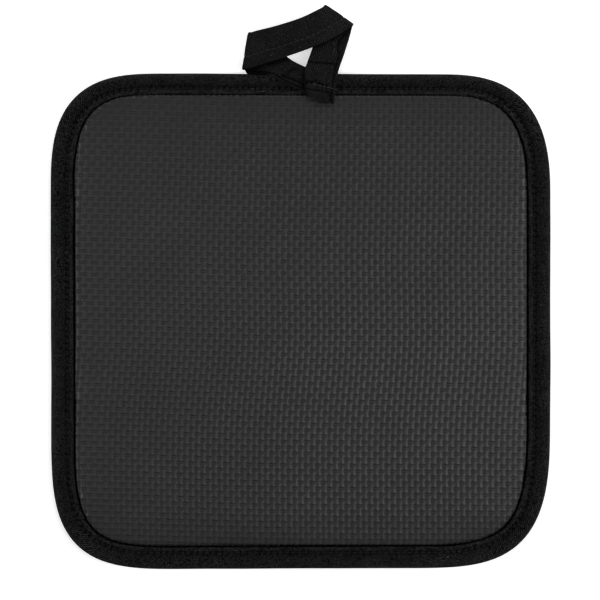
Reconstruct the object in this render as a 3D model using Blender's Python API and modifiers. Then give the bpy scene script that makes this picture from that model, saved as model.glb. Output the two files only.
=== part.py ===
"""A square pot holder with big rounded corners, lying face up.

Three sewn pieces: a padded panel with an embossed rubber face, a bias binding
folded over its edge, and a hanging loop of the same folded tape, sewn down on
the face at the top edge, right of centre.

Metres, +Z up. The origin is the centre of the panel's underside, +X is the
holder's right and +Y its top, the edge with the loop. The underside lies at
z = 0. The sizes in the tables below are in millimetres.
"""

import math

import bmesh
import bpy
from mathutils import Vector

MM = 0.001

# ---- driving dimensions, mm ------------------------------------------------
STATIONS = 84  # points round the outline
TURN_WEIGHT = 100.0  # mm of outline that one radian of turning counts as, so corners get more points

PIECE_GAP = 0.32  # free space between two pieces
TAPE_THICK = 0.9  # the binding: folded bias tape, two plies
LOOP_THICK = 1.0  # the loop: the same tape folded in half and stitched
FOLD_RADIUS = 0.8  # middle surface of the loop at a fold
FOLD_STEPS = 8  # facets round a fold
ACROSS = 4  # strips across the loop's width

# The outline's four quarters. half_x and half_y are the distances from the
# centre to the two straight sides, reach_x and reach_y how far the corner's
# curve runs along them, and power is its superellipse exponent: 2 is round.
CORNERS = (
    # name,          sign_x, sign_y, half_x, half_y, reach_x, reach_y, power
    ("top_right",        1,  1, 101.4, 100.4, 45.2, 51.1, 2.75),
    ("top_left",        -1,  1, 101.6, 100.7, 43.9, 47.2, 2.83),
    ("bottom_left",     -1, -1, 101.3, 100.5, 50.7, 55.6, 3.30),
    ("bottom_right",     1, -1, 101.4, 100.2, 60.0, 68.0, 3.55),
)

# What shows of the binding on each side: its hem's inset from the outer edge,
# and that of the line of stitching, which pulls a groove into it.
BINDING_SIDES = (
    # side,   out_x, out_y, hem, stitching
    ("left",   -1,  0, 9.6, 6.3),
    ("right",   1,  0, 9.8, 7.1),
    ("top",     0,  1, 8.4, 6.5),
    ("bottom",  0, -1, 9.0, 5.9),
)

# The binding's outer surface in section, from the hem under the holder, round
# the outer edge, to the hem on its face. The inset from the outer edge is
# fixed + to_stitching * (inset of the stitching)
#       + to_hem * (distance from the stitching to the hem).
BINDING_SECTION = (
    # point,        fixed, to_stitching, to_hem, height
    ("under_hem",    0.00, 1.00,  0.90, 0.00),
    ("under_mid",    0.00, 0.85,  0.00, 0.00),
    ("under_turn",   2.10, 0.00,  0.00, 0.00),
    ("bend_low",     0.95, 0.00,  0.00, 0.38),
    ("edge_low",     0.22, 0.00,  0.00, 1.30),
    ("edge",         0.00, 0.00,  0.00, 2.45),
    ("edge_high",    0.22, 0.00,  0.00, 3.55),
    ("bend_high",    0.95, 0.00,  0.00, 4.45),
    ("crown",        2.20, 0.00,  0.00, 4.90),
    ("crown_in",     0.90, 0.50,  0.00, 4.88),
    ("slope",        0.00, 0.84,  0.00, 4.55),
    ("groove",       0.00, 1.00,  0.00, 4.10),
    ("lip",          0.00, 1.00,  0.45, 4.48),
    ("hem",          0.00, 1.00,  1.00, 4.42),
)

# The panel beyond the binding: inset past the binding's hem, and height.
PANEL_UNDERSIDE = (
    # ring,        past_hem, height
    ("flat",            6.0, 0.0),
    ("relief",          1.2, 0.55),
)
PANEL_FACE = (
    # ring,        past_hem, height
    ("foot",            0.40, 3.35),
    ("side",            0.55, 4.10),
    ("shoulder",        1.60, 4.85),
    ("slope",           5.00, 5.45),
    ("field",          12.00, 5.75),
)
# Rings of the crowned field, each a shrunken copy of the last ring above.
PANEL_CROWN = (
    # ring,     scale, height
    ("outer",    0.66, 5.90),
    ("inner",    0.33, 6.00),
)
CROWN_TOP = 6.05  # height of the face at the centre

# The two mitre folds of the loop, seen from above: the outermost line of the
# bend, from its end at the open edge to its end at the folded edge. The tape
# lies on the side that the in direction points to.
LOOP_FOLDS = (
    # name,    open_x, open_y, folded_x, folded_y, in_x, in_y
    ("left",   -23.8, 102.7, -21.4, 117.2,  1.0, -0.2),
    ("right",   21.6, 120.5,   9.9, 128.6, -0.5, -0.8),
)

# The loop's three strands, each as lines across the tape from its open edge
# (the one with the stitching near it) to its folded edge. The heights are
# those of the tape's middle surface at the two ends of the line.
# A row named fold stands where the strand meets that fold.
LEFT_STRAND = (
    # line,       open_x, open_y, open_z, folded_x, folded_y, folded_z
    ("cut_end",     3.6,  92.2, 5.75,   8.2, 100.2, 5.75),
    ("foot",       -0.6,  93.7, 5.75,   4.2, 102.0, 5.75),
    ("edge",       -7.4,  96.8, 5.80,  -2.4, 105.1, 5.65),
    ("swing",     -11.4,  99.2, 5.80,  -6.6, 107.9, 5.50),
    ("curl",      -16.0, 100.3, 5.75, -11.6, 111.0, 5.30),
    ("turn",      -21.2, 100.9, 5.60, -16.8, 114.2, 5.00),
    ("fold",        0.0,   0.0, 5.50,   0.0,   0.0, 4.70),
)
UPPER_STRIP = (
    # line,       open_x, open_y, open_z, folded_x, folded_y, folded_z
    ("fold",        0.0,   0.0, 7.10,   0.0,   0.0, 6.30),
    ("low",       -14.0, 105.2, 7.05, -17.0, 117.9, 6.25),
    ("middle",     -6.4, 107.5, 6.90, -10.6, 119.5, 6.15),
    ("hook",        4.8, 111.6, 6.70,  -0.3, 122.8, 5.90),
    ("high",       14.3, 115.9, 6.30,   7.8, 126.7, 5.60),
    ("fold",        0.0,   0.0, 5.80,   0.0,   0.0, 5.30),
)
RIGHT_STRAND = (
    # line,       open_x, open_y, open_z, folded_x, folded_y, folded_z
    ("fold",        0.0,   0.0, 4.20,   0.0,   0.0, 3.70),
    ("riser",      19.8, 115.2, 4.60,   7.4, 119.6, 4.50),
    ("hook",       17.4, 107.6, 5.35,   4.9, 111.4, 5.20),
    ("crease",     16.0, 103.6, 6.50,   2.5, 104.5, 6.75),
    ("foot",       15.2, 100.9, 7.00,   1.6, 101.6, 7.25),
    ("bartack",    14.1,  95.0, 7.05,   1.6,  96.2, 7.25),
    ("tail",       13.7,  91.3, 6.85,   1.8,  93.3, 7.20),
    ("cut_end",    13.5,  88.3, 6.40,   2.0,  90.8, 6.95),
)
SPAN_STEPS = 3  # lines added for each stretch between two rows

# ---- helpers ---------------------------------------------------------------


def clear_scene():
    for obj in list(bpy.data.objects):
        bpy.data.objects.remove(obj, do_unlink=True)


def make_collection(name):
    collection = bpy.data.collections.new(name)
    bpy.context.scene.collection.children.link(collection)
    return collection


def make_material(name, colour, roughness):
    material = bpy.data.materials.new(name)
    material.use_nodes = True
    shader = material.node_tree.nodes["Principled BSDF"]
    shader.inputs["Base Color"].default_value = (*colour, 1.0)
    shader.inputs["Roughness"].default_value = roughness
    shader.inputs["Metallic"].default_value = 0.0
    material.diffuse_color = (*colour, 1.0)
    return material


def finish_object(bm, name, collection, material):
    """Put the bmesh in a smooth-shaded object with its faces pointing out."""
    bmesh.ops.recalc_face_normals(bm, faces=bm.faces)
    mesh = bpy.data.meshes.new(name)
    bm.to_mesh(mesh)
    bm.free()
    mesh.shade_smooth()
    mesh.set_sharp_from_angle(angle=math.radians(50))
    obj = bpy.data.objects.new(name, mesh)
    obj.data.materials.append(material)
    collection.objects.link(obj)
    return obj


def grid_surface(columns, rows, place):
    """A grid of points from create_grid, each moved to place(column, row)."""
    bm = bmesh.new()
    bmesh.ops.create_grid(
        bm, x_segments=columns - 1, y_segments=rows - 1, size=0.5
    )
    for vert in bm.verts:
        column = round((vert.co.x + 0.5) * (columns - 1))
        row = round((vert.co.y + 0.5) * (rows - 1))
        vert.co = place(column, row)
    return bm


# ---- the outline -----------------------------------------------------------


def quarter(sign_x, sign_y, half_x, half_y, reach_x, reach_y, power, steps=240):
    """A dense corner curve, anticlockwise, from one straight side to the next."""
    points = []
    for i in range(steps + 1):
        turn = 0.5 * math.pi * i / steps
        x = half_x - reach_x + reach_x * math.cos(turn) ** (2.0 / power)
        y = half_y - reach_y + reach_y * math.sin(turn) ** (2.0 / power)
        points.append(Vector((sign_x * x, sign_y * y)))
    return points if sign_x * sign_y > 0 else points[::-1]


def outline():
    """(points, outward normals) of the outer edge, closed, more in the corners."""
    dense = []
    for row in CORNERS:
        dense += quarter(*row[1:])
    dense = [
        p for i, p in enumerate(dense) if (p - dense[i - 1]).length > 1e-6
    ]
    count = len(dense)
    steps = [dense[(i + 1) % count] - dense[i] for i in range(count)]
    measure = [0.0]
    for i in range(count):
        turn = abs(steps[i].angle_signed(steps[(i + 1) % count], 0.0))
        measure.append(measure[-1] + steps[i].length + TURN_WEIGHT * turn)
    points, i = [], 0
    for station in range(STATIONS):
        wanted = measure[-1] * station / STATIONS
        while measure[i + 1] < wanted:
            i += 1
        share = (wanted - measure[i]) / (measure[i + 1] - measure[i])
        points.append(dense[i].lerp(dense[(i + 1) % count], share))
    normals = []
    for i in range(STATIONS):
        along = points[(i + 1) % STATIONS] - points[i - 1]
        normals.append(Vector((along.y, -along.x)).normalized())
    return points, normals


def binding_width(normal):
    """(hem, stitching) insets where the outline faces this way."""
    hem = stitching = 0.0
    for _, out_x, out_y, side_hem, side_stitching in BINDING_SIDES:
        weight = max(normal.x * out_x + normal.y * out_y, 0.0) ** 2
        hem += weight * side_hem
        stitching += weight * side_stitching
    return hem, stitching


def binding_profile(normal):
    """The binding's outer surface in section, as (inset, height) pairs."""
    hem, stitching = binding_width(normal)
    return [
        Vector((fixed + to_stitching * stitching + to_hem * (hem - stitching), height))
        for _, fixed, to_stitching, to_hem, height in BINDING_SECTION
    ]


def inner_parallel(profile, distance):
    """The profile moved inwards by this distance, square to each of its bends."""
    moved = []
    for i, point in enumerate(profile):
        before = profile[i] - profile[i - 1] if i else None
        after = profile[i + 1] - profile[i] if i + 1 < len(profile) else None
        sides = [
            Vector((run.y, -run.x)).normalized() for run in (before, after) if run
        ]
        middle = sum(sides, Vector((0.0, 0.0))).normalized()
        reach = distance / max(middle.dot(sides[0]), 0.6)
        moved.append(point + middle * reach)
    return moved


# ---- the pieces ------------------------------------------------------------


def make_binding(collection, material):
    """A ring of tape: the section's open surface swept round, then thickened."""
    points, normals = outline()
    profiles = [binding_profile(normal) for normal in normals]

    def place(column, row):
        i = column % STATIONS
        inset, height = profiles[i][row]
        spot = points[i] - normals[i] * inset
        return Vector((spot.x, spot.y, height)) * MM

    bm = grid_surface(STATIONS + 1, len(BINDING_SECTION), place)
    bmesh.ops.remove_doubles(bm, verts=bm.verts, dist=1e-6)
    # the normals point out of the fold, so Solidify adds the tape on the inside
    bmesh.ops.recalc_face_normals(bm, faces=bm.faces)
    outermost = max(bm.faces, key=lambda face: face.calc_center_median().length)
    if outermost.normal.dot(outermost.calc_center_median()) < 0:
        bmesh.ops.reverse_faces(bm, faces=bm.faces)
    mesh = bpy.data.meshes.new("binding")
    bm.to_mesh(mesh)
    bm.free()
    mesh.shade_smooth()
    obj = bpy.data.objects.new("binding", mesh)
    obj.data.materials.append(material)
    collection.objects.link(obj)
    thicken(obj, TAPE_THICK, -1.0)
    return obj


def thicken(obj, thickness, side):
    """Solidify: side -1 adds the thickness behind the surface, 0 on both sides."""
    solidify = obj.modifiers.new("Tape", "SOLIDIFY")
    solidify.thickness = thickness * MM
    solidify.offset = side
    solidify.use_even_offset = True
    solidify.use_quality_normals = True
    return solidify


def make_panel(collection, material):
    """The padded square: rings lofted from the flat underside to the crown."""
    points, normals = outline()
    depth = TAPE_THICK + PIECE_GAP
    ring_lists = []
    for i in range(STATIONS):
        hem = binding_width(normals[i])[0]
        inside = inner_parallel(binding_profile(normals[i]), depth)
        rows = [Vector((hem + past, height)) for _, past, height in PANEL_UNDERSIDE]
        rows += inside
        rows += [Vector((hem + past, height)) for _, past, height in PANEL_FACE]
        ring_lists.append(rows)
    ring_count = len(ring_lists[0])

    def place(column, row):
        i = column % STATIONS
        if row < ring_count:
            inset, height = ring_lists[i][row]
            spot = points[i] - normals[i] * inset
        else:
            _, scale, height = PANEL_CROWN[row - ring_count]
            spot = (points[i] - normals[i] * ring_lists[i][-1].x) * scale
        return Vector((spot.x, spot.y, height)) * MM

    bm = grid_surface(STATIONS + 1, ring_count + len(PANEL_CROWN), place)
    bmesh.ops.remove_doubles(bm, verts=bm.verts, dist=1e-6)
    edges = [edge for edge in bm.edges if edge.is_boundary]
    filled = bmesh.ops.holes_fill(bm, edges=edges, sides=0)["faces"]
    crown = max(filled, key=lambda face: face.calc_center_median().z)
    centre = bmesh.ops.poke(bm, faces=[crown])["verts"][0]
    centre.co = Vector((0.0, 0.0, CROWN_TOP)) * MM
    return finish_object(bm, "panel", collection, material)


def smooth_lines(rows):
    """More lines between a strand's rows, on a curve through all of them."""
    lines = []
    last = len(rows) - 1
    for i in range(last):
        p0, p1 = rows[max(i - 1, 0)], rows[i]
        p2, p3 = rows[i + 1], rows[min(i + 2, last)]
        for step in range(SPAN_STEPS):
            t = step / SPAN_STEPS
            lines.append(
                tuple(
                    0.5
                    * (
                        2 * b
                        + (c - a) * t
                        + (2 * a - 5 * b + 4 * c - d) * t * t
                        + (3 * b - a - 3 * c + d) * t**3
                    )
                    for a, b, c, d in zip(p0, p1, p2, p3)
                )
            )
    lines.append(rows[last])
    return lines


def fold_foot(name):
    """Where the tape leaves this fold's bend: (open end, folded end, outward)."""
    row = next(row for row in LOOP_FOLDS if row[0] == name)
    open_end, folded_end = Vector(row[1:3]), Vector(row[3:5])
    line = folded_end - open_end
    outward = Vector((line.y, -line.x)).normalized()
    if outward.dot(Vector(row[5:7])) > 0:
        outward = -outward
    depth = FOLD_RADIUS + 0.5 * LOOP_THICK
    return open_end - outward * depth, folded_end - outward * depth, outward


def strand_rows(table, folds):
    """A strand's lines as (open edge, folded edge) points, folds filled in."""
    rows, folds = [], list(folds)
    for name, open_x, open_y, open_z, folded_x, folded_y, folded_z in table:
        open_at, folded_at = Vector((open_x, open_y)), Vector((folded_x, folded_y))
        if name == "fold":
            open_at, folded_at, _ = fold_foot(folds.pop(0))
        rows.append(
            (
                Vector((open_at.x, open_at.y, open_z)),
                Vector((folded_at.x, folded_at.y, folded_z)),
            )
        )
    return rows


def fold_lines(name, start, end):
    """The lines round a fold, from the line it starts at to the one it ends at."""
    _, _, outward = fold_foot(name)
    outward = Vector((outward.x, outward.y, 0.0))
    lines = []
    for step in range(1, FOLD_STEPS):
        turn = math.pi * step / FOLD_STEPS
        share = 0.5 * (1.0 - math.cos(turn))
        lines.append(
            tuple(
                a.lerp(b, share) + outward * FOLD_RADIUS * math.sin(turn)
                for a, b in zip(start, end)
            )
        )
    return lines


def make_loop(collection, material):
    """The folded tape: lines across it, from one cut end to the other."""
    left = smooth_lines(strand_rows(LEFT_STRAND, ["left"]))
    upper = smooth_lines(strand_rows(UPPER_STRIP, ["left", "right"]))
    right = smooth_lines(strand_rows(RIGHT_STRAND, ["right"]))
    lines = left + fold_lines("left", left[-1], upper[0])
    lines += upper + fold_lines("right", upper[-1], right[0])
    lines += right

    def place(column, row):
        open_edge, folded_edge = lines[column]
        return open_edge.lerp(folded_edge, row / ACROSS) * MM

    bm = grid_surface(len(lines), ACROSS + 1, place)
    bmesh.ops.recalc_face_normals(bm, faces=bm.faces)
    mesh = bpy.data.meshes.new("hanging_loop")
    bm.to_mesh(mesh)
    bm.free()
    mesh.shade_smooth()
    obj = bpy.data.objects.new("hanging_loop", mesh)
    obj.data.materials.append(material)
    collection.objects.link(obj)
    thicken(obj, LOOP_THICK, 0.0)
    return obj


def main():
    clear_scene()
    collection = make_collection("pot_holder")
    root = bpy.data.objects.new("pot_holder_root", None)
    collection.objects.link(root)
    pieces = (
        make_panel(collection, make_material("panel", (0.033, 0.033, 0.034), 0.55)),
        make_binding(collection, make_material("binding", (0.011, 0.011, 0.012), 0.85)),
        make_loop(collection, make_material("hanging_loop", (0.012, 0.012, 0.013), 0.85)),
    )
    for piece in pieces:
        piece.parent = root


main()
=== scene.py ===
import math
import random

import bmesh
import bpy
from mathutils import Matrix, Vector, geometry, kdtree, noise
from mathutils.bvhtree import BVHTree


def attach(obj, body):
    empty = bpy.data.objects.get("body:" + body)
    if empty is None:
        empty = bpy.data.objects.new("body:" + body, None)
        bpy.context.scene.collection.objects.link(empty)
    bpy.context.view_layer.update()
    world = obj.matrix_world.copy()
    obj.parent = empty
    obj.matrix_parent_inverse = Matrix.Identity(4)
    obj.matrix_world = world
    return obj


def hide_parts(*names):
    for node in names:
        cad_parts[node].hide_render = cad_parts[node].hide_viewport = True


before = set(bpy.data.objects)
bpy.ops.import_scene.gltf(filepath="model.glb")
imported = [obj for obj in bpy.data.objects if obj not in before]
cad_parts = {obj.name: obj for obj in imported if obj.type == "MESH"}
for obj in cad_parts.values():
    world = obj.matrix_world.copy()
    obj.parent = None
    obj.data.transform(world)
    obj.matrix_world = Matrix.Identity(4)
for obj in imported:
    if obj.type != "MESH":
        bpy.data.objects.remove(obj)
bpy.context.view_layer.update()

# A square pot holder lying face up, seen from straight above.
#
#   pad            the padded square: embossed rubber face, plain cloth back
#   edge_binding   bias twill tape folded over the edge
#   edge_stitches  the lockstitch that holds the binding, on both sides
#   loop_tape      the folded tape of the hanging loop
#   loop_stitches  its edge stitching, the row that sews it down, loose threads
#
# The tables give millimetres, as in the CAD. MM turns them into metres.

MM = 0.001

# ---- the frame's own sizes, as the CAD has them ------------------------------

CORNERS = (
    # name,          sign_x, sign_y, half_x, half_y, reach_x, reach_y, power
    ("top_right",        1,  1, 101.4, 100.4, 45.2, 51.1, 2.75),
    ("top_left",        -1,  1, 101.6, 100.7, 43.9, 47.2, 2.83),
    ("bottom_left",     -1, -1, 101.3, 100.5, 50.7, 55.6, 3.30),
    ("bottom_right",     1, -1, 101.4, 100.2, 60.0, 68.0, 3.55),
)
BINDING_SIDES = (
    # side,   out_x, out_y, hem, stitching, gap between the hem and the face's rise
    ("left",   -1,  0, 9.05, 6.85, 0.75),
    ("right",   1,  0, 8.80, 6.55, 0.85),
    ("top",     0,  1, 8.30, 6.05, 0.30),
    ("bottom",  0, -1, 8.70, 6.60, 0.65),
)
BINDING_SECTION = (
    # point,        fixed, to_stitching, to_hem, height, steps to the next point
    ("under_hem",    0.00, 1.00,  0.90, 0.00, 2),
    ("under_line",   0.00, 1.00,  0.00, 0.00, 2),
    ("under_mid",    0.00, 0.70,  0.00, 0.00, 1),
    ("under_turn",   2.10, 0.00,  0.00, 0.00, 2),
    ("bend_low",     0.95, 0.00,  0.00, 0.38, 2),
    ("edge_low",     0.22, 0.00,  0.00, 1.30, 2),
    ("edge",         0.00, 0.00,  0.00, 2.45, 2),
    ("edge_high",    0.22, 0.00,  0.00, 3.55, 2),
    ("bend_high",    0.95, 0.00,  0.00, 4.45, 2),
    ("crown",        2.20, 0.00,  0.00, 4.95, 3),
    ("crown_in",     0.90, 0.50,  0.00, 4.80, 3),
    ("slope",        0.00, 0.84,  0.00, 4.38, 3),
    ("groove",       0.00, 1.00,  0.00, 4.02, 3),
    ("lip",          0.00, 1.00,  0.50, 4.48, 3),
    ("hem",          0.00, 1.00,  1.00, 4.36, 0),
)
TAPE_THICK = 0.9
PIECE_GAP = 0.32

LOOP_THICK = 1.0
FOLD_RADIUS = 0.8
LOOP_FOLDS = (
    # name,    open_x, open_y, folded_x, folded_y, in_x, in_y
    ("left",   -23.8, 101.9, -21.4, 117.2,  1.0, -0.2),
    ("right",   21.6, 120.5,   9.9, 128.6, -0.5, -0.8),
)
LEFT_STRAND = (
    # line,       open_x, open_y, open_z, folded_x, folded_y, folded_z
    ("cut_end",     3.6,  92.2, 5.75,   8.2, 100.2, 5.75),
    ("foot",       -0.6,  93.7, 5.75,   4.2, 102.0, 5.75),
    ("edge",       -7.4,  96.8, 5.80,  -2.4, 105.1, 5.65),
    ("swing",     -11.4,  99.2, 5.80,  -6.6, 107.9, 5.50),
    ("curl",      -16.0,  99.7, 5.75, -11.6, 111.0, 5.30),
    ("turn",      -21.2, 100.0, 5.60, -16.8, 114.2, 5.00),
    ("fold",        0.0,   0.0, 5.50,   0.0,   0.0, 4.70),
)
UPPER_STRIP = (
    # line,       open_x, open_y, open_z, folded_x, folded_y, folded_z
    ("fold",        0.0,   0.0, 7.10,   0.0,   0.0, 6.30),
    ("low",       -14.0, 104.5, 7.05, -17.0, 117.9, 6.25),
    ("middle",     -6.4, 106.8, 6.90, -10.6, 119.5, 6.15),
    ("hook",        4.8, 110.8, 6.70,  -0.3, 122.8, 5.90),
    ("high",       14.3, 115.4, 6.30,   7.8, 126.7, 5.60),
    ("fold",        0.0,   0.0, 5.80,   0.0,   0.0, 5.30),
)
RIGHT_STRAND = (
    # line,       open_x, open_y, open_z, folded_x, folded_y, folded_z
    ("fold",        0.0,   0.0, 4.20,   0.0,   0.0, 3.70),
    ("riser",      19.8, 115.2, 4.60,   7.4, 119.6, 4.50),
    ("hook",       17.4, 107.6, 5.35,   4.9, 111.4, 5.20),
    ("crease",     16.0, 103.6, 6.50,   2.5, 104.5, 6.75),
    ("foot",       15.2, 100.9, 7.00,   1.6, 101.6, 7.25),
    ("bartack",    14.1,  95.0, 7.05,   1.6,  96.2, 7.25),
    ("tail",       13.7,  91.0, 6.85,   1.6,  94.2, 7.20),
    ("cut_end",    13.4,  88.2, 6.40,   2.6,  91.8, 6.95),
)

# ---- what this script adds ---------------------------------------------------

# The emboss looks like a basket weave: upright cords a cell apart, each tied down
# by a short level band in every other cell. Sizes are shares of a cell.
CELL_X, CELL_Y = 2.331, 2.350  # mm
CORD_ROWS = (
    # along the cord from the middle between two bands: the rim of its flat top,
    # mm above the face's own surface, and how open it lies, from 0 to 1, which darkens the rubber's colour as painted
    # shade where it is low
    # row,        along, half_width, height, openness
    ("groove",    -0.83, 0.41,  0.00, 0.00),
    ("head",      -0.62, 0.34,  0.17, 1.00),
    ("waist",     -0.31, 0.09,  0.16, 1.00),
    ("waist",      0.31, 0.09,  0.16, 1.00),
    ("head",       0.62, 0.34,  0.17, 1.00),
    ("groove",     0.83, 0.41,  0.00, 0.00),
    ("band",       0.94, 0.22,  0.06, 0.82),
    ("band",       1.06, 0.22,  0.06, 0.82),
)
VALLEY = {
    # the line between two cords, by place on it: height, and openness, which darkens the rubber's colour as painted
    # shade
    "band_end": (-0.20, 0.46),
    "between": (-0.12, 0.52),
}
BAND_END = 0.16  # half a band's width where it meets the valley
BAND_REACH = 0.07  # how far past the valley's line a band reaches
# The emboss isn't quite square to the holder. Degrees that its columns lean, by
# height on the holder and at its left and right, and that its rows climb, by x.
COLUMN_LEAN = (
    # y,    left, right
    (-85.0, -0.5, -0.5),
    (-64.0, -0.4, -0.5),
    (-48.0,  1.5,  1.5),
    (-32.0,  5.1,  4.8),
    (-16.0,  4.6,  4.0),
    (  0.0, -0.7, -0.3),
    ( 17.0, -1.8, -1.6),
    ( 33.0,  0.9,  2.2),
    ( 49.0,  3.4,  0.6),
    ( 65.0,  1.8,  0.9),
    ( 85.0,  1.0,  0.8),
)
ROW_CLIMB = (
    # x,    degrees
    (-90.0, -1.5),
    (-51.0, -1.6),
    (-19.0, -1.2),
    ( -2.0, -0.6),
    ( 30.0, -0.3),
    ( 47.0,  0.0),
    ( 79.0, -0.7),
    ( 90.0, -0.8),
)
FACE_RISE = (
    # past the hem, height of the face
    (-12.00, 2.70),
    (-0.30, 2.75),
    (0.00, 2.95),
    (0.45, 4.85),
    (0.90, 5.10),
    (2.00, 5.28),
    (5.00, 5.50),
    (12.00, 5.75),
    (90.00, 6.05),
)
LATTICE_REACH = -1.3  # the emboss goes on where it is at least this far past the hem

STITCH_PITCH = 2.5
STITCH_STATIONS = 6  # stations of the binding for each stitch
THREAD = 0.17  # radius

# The loop's tape in section. The wide ply is on the + side and runs past the
# narrow ply at the open edge.
LOOP_SECTION = (
    # point,          from_open, side
    ("wide_edge",        0.00,  0.22),
    ("wide_round",       0.14,  0.46),
    ("wide_a",           0.80,  0.52),
    ("wide_b",           1.80,  0.53),
    ("wide_c",           3.75,  0.52),
    ("wide_seam_a",      4.15,  0.44),
    ("wide_seam",        4.40,  0.26),
    ("wide_seam_b",      4.65,  0.44),
    ("wide_d",           5.15,  0.54),
    ("wide_e",           6.50,  0.60),
    ("wide_f",           8.20,  0.62),
    ("wide_g",          10.20,  0.60),
    ("wide_h",          11.60,  0.54),
    ("fold_a",          12.20,  0.40),
    ("fold_b",          12.52,  0.18),
    ("fold_c",          12.60,  0.00),
    ("fold_d",          12.52, -0.18),
    ("fold_e",          12.20, -0.40),
    ("narrow_h",        11.60, -0.52),
    ("narrow_g",        10.20, -0.56),
    ("narrow_f",         8.20, -0.58),
    ("narrow_e",         6.50, -0.56),
    ("narrow_d",         5.15, -0.52),
    ("narrow_seam_b",    4.65, -0.42),
    ("narrow_seam",      4.40, -0.24),
    ("narrow_seam_a",    4.15, -0.42),
    ("narrow_c",         3.75, -0.50),
    ("narrow_b",         2.05, -0.50),
    ("narrow_round",     1.78, -0.42),
    ("narrow_edge",      1.72, -0.22),
    ("step",             1.74, -0.02),
    ("lining_a",         1.20,  0.00),
    ("lining_b",         0.40,  0.00),
    ("lining_c",         0.10,  0.06),
)
# How open the tape lies at the points of its step, next to 1 elsewhere: painted shade darkens the step and painted
# light brightens the wide ply's edge.
SECTION_SHADE = {
    "wide_edge": 1.25, "narrow_round": 0.75, "narrow_edge": 0.35, "step": 0.05,
    "lining_a": 0.65, "lining_b": 0.95, "lining_c": 1.0,
}
LOOP_CREASES = (
    # where the tape is creased, or lies in the shade of the strand over it; shade darkens the tape's colour as painted
    # shade
    # strand,   x0,    y0,    x1,    y1,   width, depth, shade
    ("right",   2.7, 104.9,  14.0, 104.1,  0.50,  0.32, 0.80),
    ("right",   5.0, 110.9,  20.7, 119.6,  1.10,  0.00, 0.80),
    ("right",   2.2,  94.0,  12.6,  92.4,  0.45,  0.25, 0.65),
    ("right",   9.5,  95.0,  12.6,  89.0,  0.45,  0.20, 0.55),
    ("right",   1.4,  97.6,   2.0,  91.5,  0.60,  0.00, 0.60),
    ("left",  -22.0, 101.9,  -5.6, 106.3,  1.40,  0.00, 0.85),
    ("left",  -23.0, 101.0, -14.5, 100.2,  1.40,  0.00, 0.92),
    ("left",   -7.4,  99.6,   1.2,  96.2,  0.60,  0.35, 0.80),
    ("left",   -7.0,  99.4,  -2.3, 102.3,  0.60,  0.25, 0.60),
    ("left",    2.1, 103.4,   1.0,  95.0,  0.90,  0.00, 0.85),
)
LOOP_SEAM = 4.40  # the edge stitching, from the open edge
LOOP_WIDTH = 12.6

# The row that sews the loop down: its needle holes, the thread that shows, and
# that thread's end past the tape.
SEWN_HOLES = (
    # x, y
    (2.4, 96.6),
    (4.3, 96.7),
    (5.8, 97.0),
    (7.4, 96.1),
    (8.8, 95.6),
    (10.5, 95.2),
)
SEWN_ROW = (
    (4.7, 95.9),
    (6.6, 95.6),
    (8.6, 95.15),
    (10.5, 94.7),
    (11.9, 94.4),
    (13.0, 94.15),
)
THREAD_END = ((13.0, 94.15), (13.7, 93.95), (14.3, 93.75), (14.9, 93.5))
# How far the foot's cut end bulges out, at this many mm from the open edge.
CUT_BULGE, CUT_BULGE_AT, CUT_BULGE_LINES = 1.6, 6.4, 15
# How far the narrow ply's edge swings in on the right strand, and at what height.
NARROW_SWING, NARROW_SWING_Y = 2.2, 111.6

CAMERA_X, CAMERA_Y = -0.285, 8.706
VIEW_WIDTH = 243.65  # mm that the picture spans at the outline's height
LENS, SENSOR = 135.0, 36.0

# ---- small helpers -----------------------------------------------------------


def between(table, x, column=1):
    """The table's value at x, on straight lines between its rows."""
    if x <= table[0][0]:
        return table[0][column]
    for low, high in zip(table, table[1:]):
        if x <= high[0]:
            share = (x - low[0]) / (high[0] - low[0])
            return low[column] + share * (high[column] - low[column])
    return table[-1][column]


def smooth_step(x):
    x = min(max(x, 0.0), 1.0)
    return x * x * (3.0 - 2.0 * x)


def wobble(x, y=0.0, z=0.0):
    """Smooth noise from about -1 to 1."""
    return 1.6 * noise.noise(Vector((x, y, z)))


def catmull(p0, p1, p2, p3, t):
    return 0.5 * (
        2 * p1
        + (p2 - p0) * t
        + (2 * p0 - 5 * p1 + 4 * p2 - p3) * t * t
        + (3 * p1 - p0 - 3 * p2 + p3) * t**3
    )


def add_object(name, bm, materials, smooth=True):
    mesh = bpy.data.meshes.new(name)
    bm.to_mesh(mesh)
    bm.free()
    if smooth:
        mesh.shade_smooth()
    obj = bpy.data.objects.new(name, mesh)
    for material in materials:
        mesh.materials.append(material)
    bpy.context.scene.collection.objects.link(obj)
    return obj


def tube(bm, layer, path, radius, sides=6, taper=0.75):
    """A thread along the points, closed at both ends. layer gets its length."""
    rings, run = [], 0.0
    side = None
    for i, point in enumerate(path):
        along = (path[min(i + 1, len(path) - 1)] - path[max(i - 1, 0)]).normalized()
        if side is None:
            side = along.orthogonal().normalized()
        side = (side - along * side.dot(along)).normalized()
        other = along.cross(side)
        if i:
            run += (point - path[i - 1]).length
        size = radius * (taper if i in (0, len(path) - 1) else 1.0)
        ring = []
        for k in range(sides):
            turn = 2 * math.pi * k / sides
            vert = bm.verts.new((point + (side * math.cos(turn) + other * math.sin(turn)) * size) * MM)
            if layer:
                vert[layer] = Vector((run, k / sides, 0.0))
            ring.append(vert)
        rings.append(ring)
    for a, b in zip(rings, rings[1:]):
        for k in range(sides):
            bm.faces.new((a[k], a[(k + 1) % sides], b[(k + 1) % sides], b[k]))
    bm.faces.new(rings[0][::-1])
    bm.faces.new(rings[-1])


# ---- the outline -------------------------------------------------------------


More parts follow.
